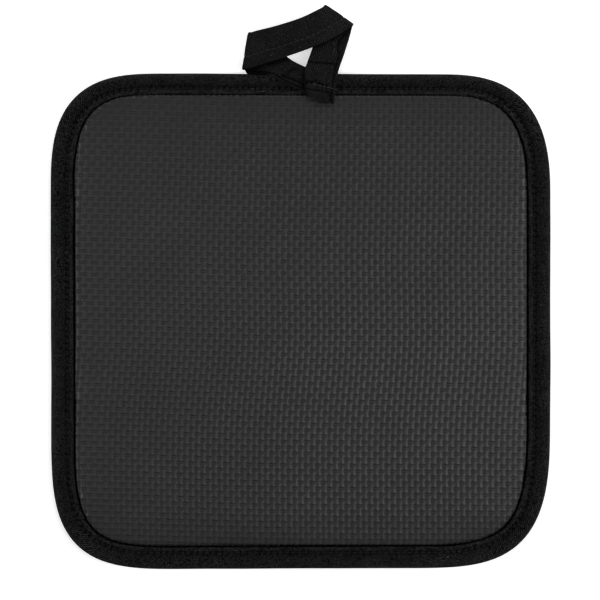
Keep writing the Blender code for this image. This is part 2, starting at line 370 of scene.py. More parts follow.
def quarter(sign_x, sign_y, half_x, half_y, reach_x, reach_y, power, steps=240):
    points = []
    for i in range(steps + 1):
        turn = 0.5 * math.pi * i / steps
        x = half_x - reach_x + reach_x * math.cos(turn) ** (2.0 / power)
        y = half_y - reach_y + reach_y * math.sin(turn) ** (2.0 / power)
        points.append(Vector((sign_x * x, sign_y * y)))
    return points if sign_x * sign_y > 0 else points[::-1]


def even(points, spacing):
    """The closed line through the points as points this far apart, or a little less."""
    lengths = [0.0]
    for i in range(len(points)):
        lengths.append(lengths[-1] + (points[(i + 1) % len(points)] - points[i]).length)
    count = max(3, math.ceil(lengths[-1] / spacing))
    made, i = [], 0
    for k in range(count):
        wanted = lengths[-1] * k / count
        while lengths[i + 1] < wanted:
            i += 1
        share = (wanted - lengths[i]) / max(lengths[i + 1] - lengths[i], 1e-9)
        made.append(points[i].lerp(points[(i + 1) % len(points)], share))
    return made


def outward_normals(points):
    made = []
    for i in range(len(points)):
        along = points[(i + 1) % len(points)] - points[i - 1]
        made.append(Vector((along.y, -along.x)).normalized())
    return made


def binding_width(normal):
    """(hem, stitching, gap) where the outline faces this way."""
    total = [0.0, 0.0, 0.0]
    for _, out_x, out_y, *sizes in BINDING_SIDES:
        weight = max(normal.x * out_x + normal.y * out_y, 0.0) ** 2
        total = [t + weight * size for t, size in zip(total, sizes)]
    return total


def binding_profile(normal, rows=BINDING_SECTION):
    hem, stitching, _ = binding_width(normal)
    return [
        Vector((row[1] + row[2] * stitching + row[3] * (hem - stitching), row[4]))
        for row in rows
    ]


def inner_parallel(profile, distance):
    moved = []
    for i, point in enumerate(profile):
        before = profile[i] - profile[i - 1] if i else None
        after = profile[i + 1] - profile[i] if i + 1 < len(profile) else None
        sides = [Vector((run.y, -run.x)).normalized() for run in (before, after) if run]
        middle = sum(sides, Vector((0.0, 0.0))).normalized()
        moved.append(point + middle * (distance / max(middle.dot(sides[0]), 0.6)))
    return moved


def make_outline():
    dense = []
    for row in CORNERS:
        dense += quarter(*row[1:])
    dense = [p for i, p in enumerate(dense) if (p - dense[i - 1]).length > 1e-6]
    return even(dense, 0.8)


OUTLINE = make_outline()
NORMALS = outward_normals(OUTLINE)
NEAREST = kdtree.KDTree(len(OUTLINE))
for _i, _p in enumerate(OUTLINE):
    NEAREST.insert((_p.x, _p.y, 0.0), _i)
NEAREST.balance()


def past_hem(x, y):
    """How far this spot is inside the binding's hem, and the gap's width there."""
    _, i, _ = NEAREST.find((x, y, 0.0))
    hem, _, gap = binding_width(NORMALS[i])
    inset = (OUTLINE[i] - Vector((x, y))).dot(NORMALS[i])
    return inset - hem, gap


def face_height(x, y, raised=0.0):
    """Height of the face's own surface, the emboss's strength and how open it lies, both from 0 to 1; how open it lies
    masks the painted shadow in the gap under the hem.
    """
    past, gap = past_hem(x, y)
    uneven = 0.10 * wobble(x / 38.0, y / 31.0, 4.0) + 0.04 * wobble(x / 11.0, y / 13.0, 9.0)
    height = between(FACE_RISE, past - gap if past < 5.0 else past - gap * max(0.0, (12.0 - past) / 7.0))
    strength = smooth_step((past - gap + 0.5) / 0.8)
    # painted shadow: near 0 in the gap under the hem, where the face turns down
    clear_of_painted_shadow = smooth_step((past - gap + 1.3 * raised) / 0.5)
    return height + uneven * smooth_step((past - gap) / 8.0), strength, clear_of_painted_shadow


# ---- materials ---------------------------------------------------------------


class Shader:
    """A material and short calls for its nodes."""

    def __init__(self, name, colour, roughness, specular=0.5):
        self.material = bpy.data.materials.new(name)
        self.material.use_nodes = True
        self.tree = self.material.node_tree
        self.shader = self.tree.nodes["Principled BSDF"]
        self.shader.inputs["Base Color"].default_value = (*colour, 1.0)
        self.shader.inputs["Roughness"].default_value = roughness
        self.shader.inputs["Specular IOR Level"].default_value = specular
        self.material.diffuse_color = (*colour, 1.0)

    def add(self, kind, inputs=(), **settings):
        node = self.tree.nodes.new(kind)
        for name, value in settings.items():
            setattr(node, name, value)
        for name, value in dict(inputs).items():
            if isinstance(value, bpy.types.NodeSocket):
                self.tree.links.new(value, node.inputs[name])
            else:
                node.inputs[name].default_value = value
        return node

    def set(self, name, socket):
        self.tree.links.new(socket, self.shader.inputs[name])

    def attribute(self, name):
        return self.add("ShaderNodeAttribute", attribute_name=name)

    def math(self, operation, a, b=0.0, clamp=False):
        return self.add(
            "ShaderNodeMath", {0: a, 1: b}, operation=operation, use_clamp=clamp
        ).outputs[0]

    def ramp(self, value, stops):
        """stops are (position, grey or colour)."""
        node = self.add("ShaderNodeValToRGB", {"Fac": value})
        ramp = node.color_ramp
        while len(ramp.elements) < len(stops):
            ramp.elements.new(0.5)
        for element, (position, colour) in zip(ramp.elements, stops):
            element.position = position
            element.color = (*colour, 1.0) if hasattr(colour, "__len__") else (colour,) * 3 + (1.0,)
        return node.outputs["Color"]

    def noise(self, vector, scale, detail=2.0, roughness=0.5):
        return self.add(
            "ShaderNodeTexNoise",
            {"Vector": vector, "Scale": scale, "Detail": detail, "Roughness": roughness},
        ).outputs["Fac"]

    def place(self):
        return self.add("ShaderNodeTexCoord").outputs["Object"]

    def multiply(self, a, b, factor=1.0):
        node = self.add("ShaderNodeMix", data_type="RGBA", blend_type="MULTIPLY")
        node.inputs["Factor"].default_value = factor
        for socket, value in ((node.inputs[6], a), (node.inputs[7], b)):
            self.tree.links.new(value, socket)
        return node.outputs[2]

    def mix(self, factor, a, b):
        node = self.add("ShaderNodeMix", data_type="RGBA")
        self.tree.links.new(factor, node.inputs["Factor"])
        for socket, value in ((node.inputs[6], a), (node.inputs[7], b)):
            if isinstance(value, bpy.types.NodeSocket):
                self.tree.links.new(value, socket)
            else:
                socket.default_value = (*value, 1.0)
        return node.outputs[2]

    def bump(self, height, distance, strength=1.0, normal=None):
        inputs = {"Height": height, "Distance": distance, "Strength": strength}
        if normal:
            inputs["Normal"] = normal
        return self.add("ShaderNodeBump", inputs).outputs["Normal"]


RUBBER_COLOUR = (0.0195, 0.0195, 0.0196)
TWILL_COLOUR = (0.0076, 0.0076, 0.0076)


def rubber_material():
    """Embossed black rubber, a little dusty, with painted shade darkening its valleys, its grooves and the gap under
    the hem.
    """
    s = Shader("face_rubber", RUBBER_COLOUR, 0.5, 0.32)
    place = s.place()
    relief = s.attribute("relief").outputs["Fac"]
    # painted shade: the colour darkens where the relief attribute says the surface lies less open
    painted_cavity_shade = s.ramp(relief, ((0.0, 0.03), (0.25, 0.24), (0.6, 0.76), (1.0, 1.06)))
    cloud = s.ramp(s.noise(place, 45.0, 3.0), ((0.3, 0.90), (0.7, 1.08)))
    grain = s.noise(place, 2600.0, 2.0, 0.6)
    speck = s.ramp(grain, ((0.25, 0.86), (0.75, 1.14)))
    base = s.ramp(s.noise(place, 12.0, 1.0), ((0.35, RUBBER_COLOUR), (0.65, (0.0211, 0.0210, 0.0209))))
    colour = s.multiply(s.multiply(s.multiply(base, painted_cavity_shade), cloud), speck)
    s.set("Base Color", colour)
    patchy = s.add(
        "ShaderNodeMapRange",
        {"Value": s.noise(place, 300.0, 3.0), "From Min": 0.3, "From Max": 0.7, "To Min": -0.04, "To Max": 0.04},
    ).outputs["Result"]
    dull = s.add(
        "ShaderNodeMapRange",
        {"Value": relief, "From Min": 0.3, "From Max": 0.9, "To Min": 0.72, "To Max": 0.31},
    ).outputs["Result"]
    glancing = s.add(
        "ShaderNodeMapRange",
        {"Value": s.add("ShaderNodeLayerWeight", {"Blend": 0.5}).outputs["Facing"], "From Min": 0.70, "From Max": 0.97, "To Min": 0.0, "To Max": 1.0},
    ).outputs["Result"]
    s.set("Roughness", s.math("MAXIMUM", s.math("ADD", dull, patchy), glancing))
    fine = s.bump(grain, 0.00001, 0.6)
    s.set("Normal", s.bump(s.noise(place, 700.0, 2.0), 0.00003, 0.4, fine))
    return s.material


def painted_hem_shadow_material():
    """A near-black painted shadow on the rubber's skin where it turns down under the hem."""
    return Shader("painted_hem_shadow", (0.0012, 0.0012, 0.0012), 0.95, 0.0).material


def back_material():
    """The plain knitted cloth on the back."""
    s = Shader("back_cloth", (0.014, 0.014, 0.0145), 0.9, 0.25)
    place = s.place()
    s.shader.inputs["Sheen Weight"].default_value = 0.15
    s.shader.inputs["Sheen Roughness"].default_value = 0.5
    rib = s.add(
        "ShaderNodeTexWave",
        {"Vector": place, "Scale": 330.0, "Distortion": 0.6, "Detail": 1.0, "Detail Scale": 2.0},
        wave_type="BANDS", bands_direction="X", wave_profile="SIN",
    ).outputs["Fac"]
    row = s.add(
        "ShaderNodeTexWave",
        {"Vector": place, "Scale": 420.0, "Distortion": 0.8, "Detail": 1.0, "Detail Scale": 2.0},
        wave_type="BANDS", bands_direction="Y", wave_profile="SIN",
    ).outputs["Fac"]
    knit = s.math("MULTIPLY", rib, row)
    fuzz = s.ramp(s.noise(place, 2400.0, 2.0), ((0.3, 0.7), (0.7, 1.25)))
    colour = s.mix(knit, (0.008, 0.008, 0.0084), (0.021, 0.021, 0.0215))
    s.set("Base Color", s.multiply(colour, fuzz))
    s.set("Normal", s.bump(knit, 0.00012, 0.7))
    return s.material


def twill_material(name, turn, shade=1.0, grain=0.95, ridge=1.0):
    """Black bias twill. The tape attribute holds its run and width in mm."""
    s = Shader(name, TWILL_COLOUR, 0.85, 0.02)
    s.shader.inputs["Sheen Weight"].default_value = 0.012
    s.shader.inputs["Sheen Roughness"].default_value = 0.45
    tape = s.attribute("tape").outputs["Vector"]
    place = s.place()
    turned = s.add(
        "ShaderNodeMapping", {"Vector": tape, "Rotation": (0.0, 0.0, math.radians(turn))}
    ).outputs["Vector"]
    # Wave bands repeat every 0.314 / Scale units
    rib = s.add(
        "ShaderNodeTexWave",
        {"Vector": turned, "Scale": 0.314 / 0.78, "Distortion": 0.7, "Detail": 2.0, "Detail Scale": 1.6},
        wave_type="BANDS", bands_direction="X", wave_profile="SIN",
    ).outputs["Fac"]
    yarn = s.add(
        "ShaderNodeTexWave",
        {"Vector": turned, "Scale": 0.314 / 0.52, "Distortion": 1.6, "Detail": 2.0, "Detail Scale": 1.9},
        wave_type="BANDS", bands_direction="Y", wave_profile="SIN",
    ).outputs["Fac"]
    weave = s.math("ADD", s.math("MULTIPLY", rib, 0.75), s.math("MULTIPLY", yarn, 0.25))
    fibre = s.noise(place, 1500.0, 3.0, 0.7)
    mottle = s.ramp(s.noise(place, 130.0, 3.0), ((0.3, 0.82), (0.7, 1.18)))
    colour = s.mix(weave, tuple(c * (1.0 - 0.92 * ridge) * shade for c in TWILL_COLOUR), tuple(c * (1.0 + 1.1 * ridge) * shade for c in TWILL_COLOUR))
    colour = s.multiply(colour, mottle)
    colour = s.multiply(colour, s.ramp(fibre, ((0.40, 1.0 - grain), (0.60, 1.0 + grain))))
    # painted shade and light: the relief attribute darkens grooves, needle holes, creases, folds and undersides, and
    # lightens the binding's outer bend, its lip and the lumps between holes
    painted_shade_and_light = s.add(
        "ShaderNodeMapRange",
        {"Value": s.attribute("relief").outputs["Fac"], "From Min": 0.0, "From Max": 2.0, "To Min": 0.06, "To Max": 1.94},
    ).outputs["Result"]
    colour = s.multiply(colour, painted_shade_and_light)
    lint = s.noise(place, 1150.0, 0.0)
    lint = s.ramp(lint, ((0.815, 0.0), (0.83, 1.0)))
    colour = s.mix(lint, colour, (0.045, 0.044, 0.042))
    s.set("Base Color", colour)
    fine = s.bump(fibre, 0.00004, 0.5)
    s.set("Normal", s.bump(weave, 0.00009, 0.8 * ridge, fine))
    return s.material


def thread_material(name, low, high):
    s = Shader(name, (0.5 * (low + high),) * 3, 0.8, 0.12)
    length = s.attribute("tape").outputs["Vector"]
    ply = s.add(
        "ShaderNodeTexWave",
        {"Vector": length, "Scale": 0.314 / 0.4, "Distortion": 0.3},
        wave_type="BANDS", bands_direction="DIAGONAL",
    ).outputs["Fac"]
    s.set("Base Color", s.mix(ply, (low,) * 3, (high,) * 3))
    s.set("Normal", s.bump(ply, 0.00005, 0.6))
    return s.material


# ---- the pad -----------------------------------------------------------------


def lean_shift(table, value, side=None):
    """The sum of a table's angles from 0 to value, as a shift in mm."""
    steps = max(1, int(abs(value) / 2.0))
    total = 0.0
    for k in range(steps):
        at = value * (k + 0.5) / steps
        if side is None:
            angle = between(table, at)
        else:
            angle = between(table, at, 1) * (1 - side) + between(table, at, 2) * side
        total += math.tan(math.radians(angle)) * value / steps
    return total


SHIFT_LEFT = tuple((y, lean_shift(COLUMN_LEAN, y, 0.0)) for y in range(-110, 111, 2))
SHIFT_RIGHT = tuple((y, lean_shift(COLUMN_LEAN, y, 1.0)) for y in range(-110, 111, 2))
ROW_SHIFT = tuple((x, lean_shift(ROW_CLIMB, x)) for x in range(-110, 111, 2))


def from_even(table, value):
    """The table's value, for rows two apart from -110."""
    at = min(max((value + 110.0) / 2.0, 0.0), len(table) - 1.001)
    i = int(at)
    return table[i][1] + (at - i) * (table[i + 1][1] - table[i][1])


LATTICE_X, LATTICE_Y = 0.4, 0.3  # where the middle cell's centre lies, in cells


def lattice_place(u, v):
    """The spot of lattice coordinates u, v on the holder, in mm."""
    x, y = (u + LATTICE_X) * CELL_X, (v + LATTICE_Y) * CELL_Y
    side = min(max(x / 160.0 + 0.5, 0.0), 1.0)
    shift = from_even(SHIFT_LEFT, y) * (1 - side) + from_even(SHIFT_RIGHT, y) * side
    return Vector((x + shift, y + from_even(ROW_SHIFT, x)))


# A cord's run between two bands comes in four pieces, each with its rows of the
# flat top, and its faces on one side in terms of the top's rim r and the valley w.
CORD_PIECES = (
    # middle, rows,      faces
    (-0.59, (0, 1, 2), ((("r", 0), ("w", 0), ("w", 1), ("r", 1)), (("r", 1), ("w", 1), ("r", 2)))),
    (0.0, (2, 3), ((("r", 2), ("w", 1), ("w", 2)), (("r", 2), ("w", 2), ("w", 3), ("r", 3)), (("r", 3), ("w", 3), ("w", 4)))),
    (0.59, (3, 4, 5), ((("r", 3), ("w", 4), ("r", 4)), (("r", 4), ("w", 4), ("w", 5), ("r", 5)))),
    (1.0, (5, 6, 7, 8), ((("r", 5), ("w", 5), ("r", 6)), (("r", 6), ("w", 5), ("w", 6), ("r", 7)), (("r", 7), ("w", 6), ("r", 8)))),
)


def cord_pieces(reach=47):
    """The pieces (column, cell, piece) that the face holds, with no two that meet in one point only."""
    held = set()
    for i in range(-reach, reach + 1):
        for j in range(-reach, reach + 1):
            if (i + j) % 2:
                continue
            for k, (middle, _, _) in enumerate(CORD_PIECES):
                spot = lattice_place(i, j + middle)
                if past_hem(spot.x, spot.y)[0] >= LATTICE_REACH:
                    held.add((i, j, k))
    changed = True
    while changed:
        changed = False
        for i in range(-reach, reach):
            for j in range(-reach, reach):
                # the four pieces round the valley's point (i + 0.5, j + 0.5)
                if (i + j) % 2 == 0:
                    left, right = ((i, j, 1), (i, j, 2)), ((i + 1, j + 1, 0), (i + 1, j + 1, 1))
                else:
                    left, right = ((i, j + 1, 0), (i, j + 1, 1)), ((i + 1, j, 1), (i + 1, j, 2))
                here = [piece in held for piece in left + right]
                if here in ([True, False, False, True], [False, True, True, False]):
                    held.update(left + right)
                    changed = True
    return held


def make_pad(materials):
    bm = bmesh.new()
    relief = bm.verts.layers.float.new("relief")
    raised = bm.verts.layers.float.new("raised")
    known = {}

    def vert_at(key, u, v, level, openness):
        if key not in known:
            spot = lattice_place(u, v)
            vert = bm.verts.new(Vector((spot.x, spot.y, 0.0)) * MM)
            vert[raised] = level + 0.02 * wobble(u * 0.9, v * 0.9, 2.0)
            vert[relief] = openness
            known[key] = vert
        return known[key]

    def rim(i, j, row, side):
        if row == 8:
            return rim(i, j + 2, 0, side)
        _, along, half_width, level, openness = CORD_ROWS[row]
        return vert_at(("rim", i, j, row, side), i + side * half_width, j + along, level, openness)

    def valley(i, j, place, side):
        column = i if side > 0 else i - 1  # the valley is right of this column
        if place in (1, 4):
            cell, part = (j - 1, 1) if place == 1 else (j, 1)
        else:
            cell, part = {0: (j - 1, 0), 2: (j, -0.5), 3: (j, 0), 5: (j + 1, -0.5), 6: (j + 1, 0)}[place]
        key = ("valley", column, cell, part)
        if part == 1:
            return vert_at(key, column + 0.5, cell + 0.5, *VALLEY["between"])
        lean = BAND_REACH if (column + cell) % 2 else -BAND_REACH
        along = cell + (BAND_END if part == 0 else -BAND_END)
        return vert_at(key, column + 0.5 + lean, along, *VALLEY["band_end"])

    for i, j, k in sorted(cord_pieces()):
        _, rows, faces = CORD_PIECES[k]
        for low, high in zip(rows, rows[1:]):
            bm.faces.new([rim(i, j, low, -1), rim(i, j, low, 1), rim(i, j, high, 1), rim(i, j, high, -1)])
        for side in (1, -1):
            for face in faces:
                corners = [(rim if kind == "r" else valley)(i, j, at, side) for kind, at in face]
                bm.faces.new(corners if side > 0 else corners[::-1])

    # smaller faces along the hem, where the face turns down
    for _ in range(2):
        past = {}
        for vert in bm.verts:
            inset, gap = past_hem(vert.co.x / MM, vert.co.y / MM)
            past[vert] = inset - gap
        turned = [
            edge for edge in bm.edges
            if edge.calc_length() > 0.5 * MM
            and max(past[v] for v in edge.verts) > -0.4
            and min(past[v] for v in edge.verts) < 1.1
        ]
        bmesh.ops.subdivide_edges(bm, edges=turned, cuts=1)
    # faces in the gap under the hem get the near-black painted shadow
    in_painted_hem_shadow = set()
    for vert in bm.verts:
        height, strength, clear_of_painted_shadow = face_height(vert.co.x / MM, vert.co.y / MM, vert[raised])
        vert.co.z = (height + vert[raised] * strength) * MM
        off = past_hem(vert.co.x / MM, vert.co.y / MM)
        # painted shade: dark in the gap under the hem, and a little darker and duller on the shoulder just past it
        vert[relief] *= clear_of_painted_shadow * (1.0 - 0.38 * math.exp(-(((off[0] - off[1] - 0.7) / 0.5) ** 2)))
        if clear_of_painted_shadow < 0.5:
            in_painted_hem_shadow.add(vert)
    for face in bm.faces:
        face.smooth = True
        if sum(vert in in_painted_hem_shadow for vert in face.verts) * 2 > len(face.verts):
            face.material_index = 2

    # the smooth rings: from the flat back, round under the binding
    ring_points = even(OUTLINE, 2.6)
    ring_normals = outward_normals(ring_points)
    profiles = [
        inner_parallel(binding_profile(n), TAPE_THICK + PIECE_GAP) for n in ring_normals
    ]
    names = [row[0] for row in BINDING_SECTION]
    rows = [("back", 6.0, 0.0), ("relief", 1.2, 0.55)]
    rings = []
    for _, past, height in rows:
        ring = []
        for point, normal in zip(ring_points, ring_normals):
            spot = point - normal * (binding_width(normal)[0] + past)
            ring.append(bm.verts.new(Vector((spot.x, spot.y, height)) * MM))
        rings.append(ring)
    for k in range(names.index("crown_in") + 1):
        ring = []
        for point, normal, profile in zip(ring_points, ring_normals, profiles):
            spot = point - normal * profile[k].x
            ring.append(bm.verts.new(Vector((spot.x, spot.y, profile[k].y)) * MM))
        rings.append(ring)
    count = len(ring_points)
    for row, (low, high) in enumerate(zip(rings, rings[1:])):
        for k in range(count):
            face = bm.faces.new((low[k], low[(k + 1) % count], high[(k + 1) % count], high[k]))
            face.smooth = True
            face.material_index = 1
    for ring in rings:
        for vert in ring:
            vert[relief] = 0.6

    # the strip under the binding, between the last ring and the ragged lattice
    border = [edge for edge in bm.edges if edge.is_boundary and all(v not in set_of(rings) for v in edge.verts)]
    loop_verts = ordered_loop(border)
    outer = rings[-1]
    verts = outer + loop_verts
    edges = [(k, (k + 1) % count) for k in range(count)]
    inner_count = len(loop_verts)
    edges += [(count + k, count + (k + 1) % inner_count) for k in range(inner_count)]
    fill(bm, verts, edges, keep=lambda spot: past_hem(spot.x / MM, spot.y / MM)[0] < 3.0, up=True, ring=outer, hole=loop_verts)

    # the flat back
    back = rings[0]
    inner = []
    for x in range(-88, 89, 11):
        for y in range(-88, 89, 11):
            if past_hem(x, y)[0] > 9.0:
                vert = bm.verts.new(Vector((x, y, 0.0)) * MM)
                vert[relief] = 0.6
                inner.append(vert)
    fill(bm, back + inner, [(k, (k + 1) % count) for k in range(count)], keep=lambda spot: True, up=False)

    bmesh.ops.recalc_face_normals(bm, faces=bm.faces)
    bm.verts.layers.float.remove(raised)
    return add_object("pad", bm, materials, smooth=False)


def set_of(rings, cache={}):
    if "all" not in cache:
        cache["all"] = {vert for ring in rings for vert in ring}
    return cache["all"]


def ordered_loop(edges):
    """The vertices of a closed chain of edges, in order."""
    next_to = {}
    for edge in edges:
        a, b = edge.verts
        next_to.setdefault(a, []).append(b)
        next_to.setdefault(b, []).append(a)
    start = max(next_to, key=lambda vert: vert.co.x)
    chain, before, at = [start], None, start
    while True:
        step = [vert for vert in next_to[at] if vert != before][0]
        if step == start:
            return chain
        chain.append(step)
        before, at = at, step


def fill(bm, verts, edges, keep, up, ring=None, hole=None):
    """Fills the flat region between the edges with triangles, without new points."""
    flat = [Vector((vert.co.x, vert.co.y)) for vert in verts]
    _, _, faces, origins, _, _ = geometry.delaunay_2d_cdt(flat, edges, [], 2 if hole else 1, 1e-9)
    hole_set = set(hole or ())
    for face in faces:
        corners = [verts[origins[i][0]] for i in face]
        if hole_set and all(corner in hole_set for corner in corners):
            middle = sum((Vector((c.co.x, c.co.y)) for c in corners), Vector((0.0, 0.0))) / len(corners)
            if inside_polygon(middle, hole):
                continue
        if len(set(corners)) < 3 or bm.faces.get(corners):
            continue
        made = bm.faces.new(corners)
        made.smooth = True
        made.material_index = 0 if up else 1


def inside_polygon(point, chain):
    inside = False
    for a, b in zip(chain, chain[1:] + chain[:1]):
        (ax, ay), (bx, by) = a.co.xy, b.co.xy
        if (ay > point.y) != (by > point.y):
            if point.x < ax + (point.y - ay) / (by - ay) * (bx - ax):
                inside = not inside
    return inside


# ---- the binding -------------------------------------------------------------


def stitch_line():
    """Stations evenly along the line of stitching: (outline point, normal, run)."""
    stitched = [
        p - n * binding_width(n)[1] for p, n in zip(OUTLINE, NORMALS)
    ]
    lengths = [0.0]
    size = len(stitched)
    for i in range(size):
        lengths.append(lengths[-1] + (stitched[(i + 1) % size] - stitched[i]).length)
    stitches = round(lengths[-1] / STITCH_PITCH)
    count = stitches * STITCH_STATIONS
    stations, i = [], 0
    for k in range(count):
        wanted = lengths[-1] * k / count
        while lengths[i + 1] < wanted:
            i += 1
        share = (wanted - lengths[i]) / (lengths[i + 1] - lengths[i])
        j = (i + 1) % size
        stations.append(
            (OUTLINE[i].lerp(OUTLINE[j], share), NORMALS[i].lerp(NORMALS[j], share).normalized(), wanted)
        )
    return stations


def smooth_profile(profile):
    """The section's points with those that its steps ask for between them."""
    made, last = [], len(profile) - 1
    for i in range(last):
        steps = BINDING_SECTION[i][5]
        p0, p1, p2, p3 = (profile[max(i - 1, 0)], profile[i], profile[i + 1], profile[min(i + 2, last)])
        made += [catmull(p0, p1, p2, p3, step / steps) for step in range(steps)]
    return made + [profile[last]]


def section_lengths(profile):
    run, made = 0.0, [0.0]
    for a, b in zip(profile, profile[1:]):
        run += (b - a).length
        made.append(run)
    return made


STATIONS = stitch_line()
_rng = random.Random(11)
PULLS = [_rng.uniform(0.45, 1.50) for _ in range(len(STATIONS) // STITCH_STATIONS)]


def needle_hole(k):
    """How near station k is to a needle hole, from 0 to 1, times that hole's pull."""
    share = k % STITCH_STATIONS
    near = {0: 1.0, 1: 0.35, STITCH_STATIONS - 1: 0.35}.get(share, 0.0)
    which = (k + STITCH_STATIONS // 2) // STITCH_STATIONS % len(PULLS)
    return near * PULLS[which]


def line_wander(run):
    """The stitching isn't quite parallel to the edge."""
    return 0.16 * wobble(run / 21.0, 3.0) + 0.06 * wobble(run / 5.0, 8.0)


def make_binding(material):
    bm = bmesh.new()
    tape = bm.verts.layers.float_vector.new("tape")
    relief = bm.verts.layers.float.new("relief")
    columns = []
    for k, (point, normal, run) in enumerate(STATIONS):
        hem, stitching, _ = binding_width(normal)
        profile = smooth_profile(binding_profile(normal))
        coarse = binding_profile(normal)
        inner = inner_parallel(coarse, TAPE_THICK)
        pull = needle_hole(k)
        centre = stitching + line_wander(run)
        swell = 0.10 * wobble(run / 17.0, 1.0) + 0.05 * wobble(run / 5.5, 2.0)
        hem_wander = 0.22 * wobble(run / 14.0, 5.0) + 0.08 * wobble(run / 4.0, 6.0)
        edge_wander = 0.10 * wobble(run / 26.0, 7.0)
        shaped, opened = [], []
        widths = section_lengths(profile)
        for row, spot in enumerate(profile):
            inset, height = spot
            top = height > 2.45
            off = inset - centre
            if top:
                on_face = smooth_step((inset - 0.6) / 1.5)
                drag = 0.05 * wobble((run + 1.1 * widths[row]) / 2.6, (run - widths[row]) / 11.0, 3.0)
                height += on_face * (swell * smooth_step((hem - inset) / 2.0) + drag)
                height -= 0.70 * pull * math.exp(-((off / 0.5) ** 2))
                height -= 0.10 * math.exp(-((off / 0.9) ** 2))
                height += 0.05 * math.cos(2 * math.pi * k / STITCH_STATIONS) * -math.exp(-(((abs(off) - 1.3) / 0.7) ** 2))
                inset += hem_wander * smooth_step((inset - stitching) / (hem - stitching))
            elif inset > 1.5:
                height += (0.34 + 0.3 * pull) * math.exp(-((off / 0.7) ** 2))
            # painted light and shade: lighter towards the outer bend and on the lip, darker in the groove and at the
            # needle holes, lighter lumps between the holes
            openness = 1.0
            if top:
                openness += 0.50 * smooth_step((4.2 - inset) / 4.2) + 0.40 * smooth_step((off - 0.4) / 0.6)
                openness -= 0.34 * math.exp(-(((off + 0.45) / 1.0) ** 2)) + 1.20 * pull * math.exp(-((off / 0.55) ** 2))
                if pull == 0.0:
                    openness += 0.35 * math.exp(-((off / 0.45) ** 2))
            opened.append(max(openness, 0.0))
            inset -= edge_wander * max(0.0, 1.0 - inset / 3.0)
            shaped.append(Vector((inset, max(height, 0.0))))
        # the hems are folds of the tape: round them between the two surfaces
        top_hem, top_in = shaped[-1], inner[-1] + Vector((hem_wander, 0.0))
        low_hem, low_in = shaped[0], inner[0]
        ring = shaped
        mid = (top_hem + top_in) / 2
        ring += [
            top_hem.lerp(mid, 0.35) + Vector((0.26, 0.0)),
            mid + Vector((0.36, 0.0)),
            top_in.lerp(mid, 0.35) + Vector((0.26, 0.0)),
        ]
        ring += [p + Vector((hem_wander, 0.0)) if i == 0 else p for i, p in enumerate(inner[::-1])]
        mid = (low_hem + low_in) / 2
        ring += [low_in.lerp(mid, 0.4) + Vector((0.24, 0.0)), low_hem.lerp(mid, 0.4) + Vector((0.24, 0.0))]
        widths += [widths[-1] + 0.3 * i for i in range(1, 4)]
        widths += [widths[-1] - 0.8 * i for i in range(len(ring) - len(widths))]
        # painted shade: darker round the hem's fold and on the tape's underside
        opened += [0.7, 0.3, 0.1] + [0.1] * (len(ring) - len(opened) - 3)
        column = []
        for spot, width, openness in zip(ring, widths, opened):
            xy = point - normal * spot.x
            vert = bm.verts.new(Vector((xy.x, xy.y, spot.y)) * MM)
            vert[tape] = Vector((run, width, 0.0))
            vert[relief] = openness
            column.append(vert)
        columns.append(column)
    count, rows = len(columns), len(columns[0])
    for k in range(count):
        a, b = columns[k], columns[(k + 1) % count]
        for row in range(rows):
            nxt = (row + 1) % rows
            bm.faces.new((a[row], b[row], b[nxt], a[nxt]))
    bmesh.ops.recalc_face_normals(bm, faces=bm.faces)
    return add_object("edge_binding", bm, [material])


def make_edge_stitches(material, binding):
    """One short thread from hole to hole, on the face and on the back."""
    tree = BVHTree.FromPolygons(
        [v.co.copy() for v in binding.data.vertices], [tuple(p.vertices) for p in binding.data.polygons]
    )
    bm = bmesh.new()
    tape = bm.verts.layers.float_vector.new("tape")
    count = len(STATIONS)
    rng = random.Random(5)

    def spot_at(k, lateral):
        point, normal, run = STATIONS[k % count]
        xy = point - normal * (binding_width(normal)[1] + line_wander(run) + lateral)
        return Vector((xy.x, xy.y))

    for k in range(0, count, STITCH_STATIONS):
        slant = 0.10 + rng.uniform(-0.05, 0.05)
        for top in (True, False):
            ends = [spot_at(k, -slant), spot_at(k + STITCH_STATIONS, slant)]
            path = []
            middle = ends[0].lerp(ends[1], 0.5)
            for share in (0.08, 0.22, 0.4, 0.6, 0.78, 0.92):
                xy = ends[0].lerp(ends[1], share)
                start = Vector((middle.x, middle.y, 20.0 if top else -20.0)) * MM
                hit = tree.ray_cast(start, Vector((0, 0, -1.0 if top else 1.0)))[0]
                level = hit.z / MM
                dip = 0.38 * (2 * abs(share - 0.5)) ** 3
                z = level + 0.06 - dip if top else level - 0.04 + dip
                path.append(Vector((xy.x, xy.y, z if top else max(z, THREAD + 0.01))))
            tube(bm, tape, path, THREAD)
    bmesh.ops.recalc_face_normals(bm, faces=bm.faces)
    return add_object("edge_stitches", bm, [material])


# ---- the loop ----------------------------------------------------------------


def smooth_lines(rows, steps):
    lines, last = [], len(rows) - 1
    for i in range(last):
        four = rows[max(i - 1, 0)], rows[i], rows[i + 1], rows[min(i + 2, last)]
        for step in range(steps):
            lines.append(tuple(catmull(*ends, step / steps) for ends in zip(*four)))
    return lines + [rows[last]]


def fold_foot(name):
    row = next(row for row in LOOP_FOLDS if row[0] == name)
    open_end, folded_end = Vector(row[1:3]), Vector(row[3:5])
    line = folded_end - open_end
    outward = Vector((line.y, -line.x)).normalized()
    if outward.dot(Vector(row[5:7])) > 0:
        outward = -outward
    depth = FOLD_RADIUS + 0.5 * LOOP_THICK
    return open_end - outward * depth, folded_end - outward * depth, outward


